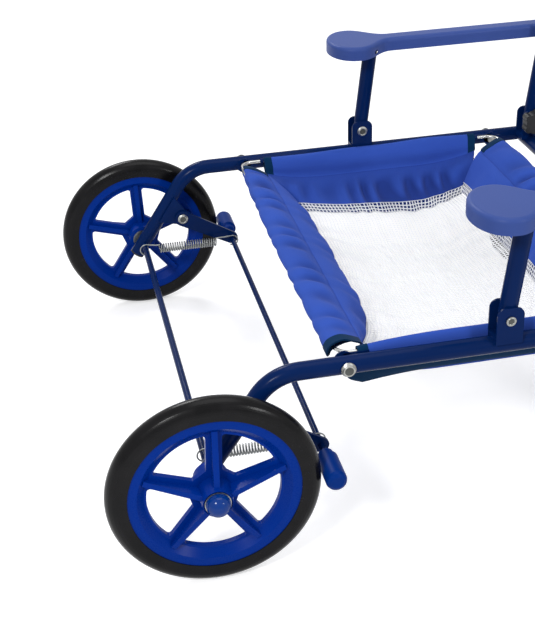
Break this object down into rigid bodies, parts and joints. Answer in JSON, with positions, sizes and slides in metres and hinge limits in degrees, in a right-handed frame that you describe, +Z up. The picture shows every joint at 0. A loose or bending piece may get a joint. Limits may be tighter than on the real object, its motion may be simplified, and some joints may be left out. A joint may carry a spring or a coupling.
{
  "type": "beach cart",
  "caption": "Folding beach cart on four wheels: tube frame, cloth and mesh basket on a wire ring, roller foot brake on the big rear wheels, and a push handle that folds with posts and armrests.",
  "frame": {"origin": "on the floor under the middle of the cart's bounding box", "axes": "+X forward toward the casters and the push handle, +Y left, +Z up"},
  "size_m": [0.873, 0.7984, 0.95],
  "materials": {
    "tyre_rubber": "satin black solid rubber",
    "wheel_plastic": "semi-gloss moulded royal blue",
    "cap_plastic": "glossy blue dome",
    "zinc_plate": "bright zinc plate",
    "spring_wire": "zinc-plated spring wire",
    "frame_paint": "gloss navy powder coat",
    "roller_plastic": "satin blue",
    "chrome_wire": "bright plated wire",
    "cloth": "plain woven polyester, royal blue",
    "mesh": "open white mesh",
    "arm_plastic": "satin moulded blue",
    "grip_foam": "matt black foam",
    "black_plastic": "satin black"
  },
  "bodies": {
    "frame": {"side_rail_left": "frame_paint", "side_rail_right": "frame_paint", "front_cross_tube": "frame_paint", "rear_axle": "frame_paint", "axle_washers": "zinc_plate", "hub_cap_left": "cap_plastic", "hub_cap_right": "cap_plastic", "leg_end_plugs": "black_plastic", "brake_bracket_left": "frame_paint", "brake_bracket_right": "frame_paint", "brake_rivets": "zinc_plate", "ring_clips": "frame_paint", "rail_bolts": "zinc_plate", "basket_ring": "chrome_wire", "basket_cloth": "cloth", "basket_mesh": "mesh", "post_bracket_left": "frame_paint", "post_bracket_right": "frame_paint", "post_rivets": "zinc_plate", "handle_bracket_left": "frame_paint", "handle_bracket_right": "frame_paint", "caster_socket_left": "black_plastic", "caster_socket_right": "black_plastic"},
    "brake": {"brake_lever_left": "frame_paint", "brake_lever_right": "frame_paint", "brake_rod": "frame_paint", "brake_roller_left": "roller_plastic", "brake_roller_right": "roller_plastic", "brake_spring_left": "spring_wire", "brake_spring_right": "spring_wire"},
    "handle": {"handle_frame": "frame_paint", "handle_grip": "grip_foam", "armrest_bolt_left": "zinc_plate", "armrest_bolt_right": "zinc_plate"},
    "rear_wheel_left": {"tyre_rear_left": "tyre_rubber", "rim_rear_left": "wheel_plastic"},
    "caster_left": {"caster_fork_left": "frame_paint", "caster_axle_left": "zinc_plate"},
    "front_wheel_left": {"caster_rim_left": "wheel_plastic", "caster_tyre_left": "tyre_rubber"},
    "post_left": {"post_left": "frame_paint", "armrest_pin_left": "zinc_plate"},
    "armrest_left": {"armrest_left": "arm_plastic"},
    "knob_left": {"clamp_knob_left": "black_plastic"},
    "rear_wheel_right": {"tyre_rear_right": "tyre_rubber", "rim_rear_right": "wheel_plastic"},
    "caster_right": {"caster_fork_right": "frame_paint", "caster_axle_right": "zinc_plate"},
    "front_wheel_right": {"caster_rim_right": "wheel_plastic", "caster_tyre_right": "tyre_rubber"},
    "post_right": {"post_right": "frame_paint", "armrest_pin_right": "zinc_plate"},
    "armrest_right": {"armrest_right": "arm_plastic"},
    "knob_right": {"clamp_knob_right": "black_plastic"}
  },
  "joints": [
    {"name": "handle_fold", "type": "hinge", "parent": "frame", "child": "handle", "pos_m": [0.3285, 0, 0.283], "axis": [0, 1, 0], "range_deg": [-83, 0]},
    {"name": "brake_release", "type": "hinge", "parent": "frame", "child": "brake", "pos_m": [-0.2455, 0, 0.169], "axis": [0, -1, 0], "range_deg": [0, 68], "deforming": ["brake_spring_left", "brake_spring_right"]},
    {"name": "rear_wheel_spin_left", "type": "hinge", "parent": "frame", "child": "rear_wheel_left", "pos_m": [-0.3095, 0.356, 0.127], "axis": [0, 1, 0], "continuous": true},
    {"name": "caster_swivel_left", "type": "hinge", "parent": "frame", "child": "caster_left", "pos_m": [0.3905, 0.316, 0.161], "axis": [0, 0, 1], "continuous": true},
    {"name": "front_wheel_spin_left", "type": "hinge", "parent": "caster_left", "child": "front_wheel_left", "pos_m": [0.3605, 0.316, 0.076], "axis": [0, 1, 0], "continuous": true},
    {"name": "post_fold_left", "type": "hinge", "parent": "frame", "child": "post_left", "pos_m": [0.0525, 0.316, 0.283], "axis": [0, 1, 0], "range_deg": [-83, 0]},
    {"name": "armrest_tilt_left", "type": "hinge", "parent": "post_left", "child": "armrest_left", "pos_m": [0.06895, 0.316, 0.41699], "axis": [0, 1, 0], "range_deg": [0, 83]},
    {"name": "knob_turn_left", "type": "hinge", "parent": "frame", "child": "knob_left", "pos_m": [0.3285, 0.284, 0.283], "axis": [0, -1, 0], "continuous": true},
    {"name": "rear_wheel_spin_right", "type": "hinge", "parent": "frame", "child": "rear_wheel_right", "pos_m": [-0.3095, -0.356, 0.127], "axis": [0, 1, 0], "continuous": true},
    {"name": "caster_swivel_right", "type": "hinge", "parent": "frame", "child": "caster_right", "pos_m": [0.3905, -0.316, 0.161], "axis": [0, 0, 1], "continuous": true},
    {"name": "front_wheel_spin_right", "type": "hinge", "parent": "caster_right", "child": "front_wheel_right", "pos_m": [0.3605, -0.316, 0.076], "axis": [0, 1, 0], "continuous": true},
    {"name": "post_fold_right", "type": "hinge", "parent": "frame", "child": "post_right", "pos_m": [0.0525, -0.316, 0.283], "axis": [0, 1, 0], "range_deg": [-83, 0]},
    {"name": "armrest_tilt_right", "type": "hinge", "parent": "post_right", "child": "armrest_right", "pos_m": [0.06895, -0.316, 0.41699], "axis": [0, 1, 0], "range_deg": [0, 83]},
    {"name": "knob_turn_right", "type": "hinge", "parent": "frame", "child": "knob_right", "pos_m": [0.3285, -0.284, 0.283], "axis": [0, 1, 0], "continuous": true}
  ],
  "couplings": [
    {"joint": "post_fold_left", "follows": "handle_fold", "ratio": 1},
    {"joint": "armrest_tilt_left", "follows": "handle_fold", "ratio": -1},
    {"joint": "post_fold_right", "follows": "handle_fold", "ratio": 1},
    {"joint": "armrest_tilt_right", "follows": "handle_fold", "ratio": -1}
  ]
}
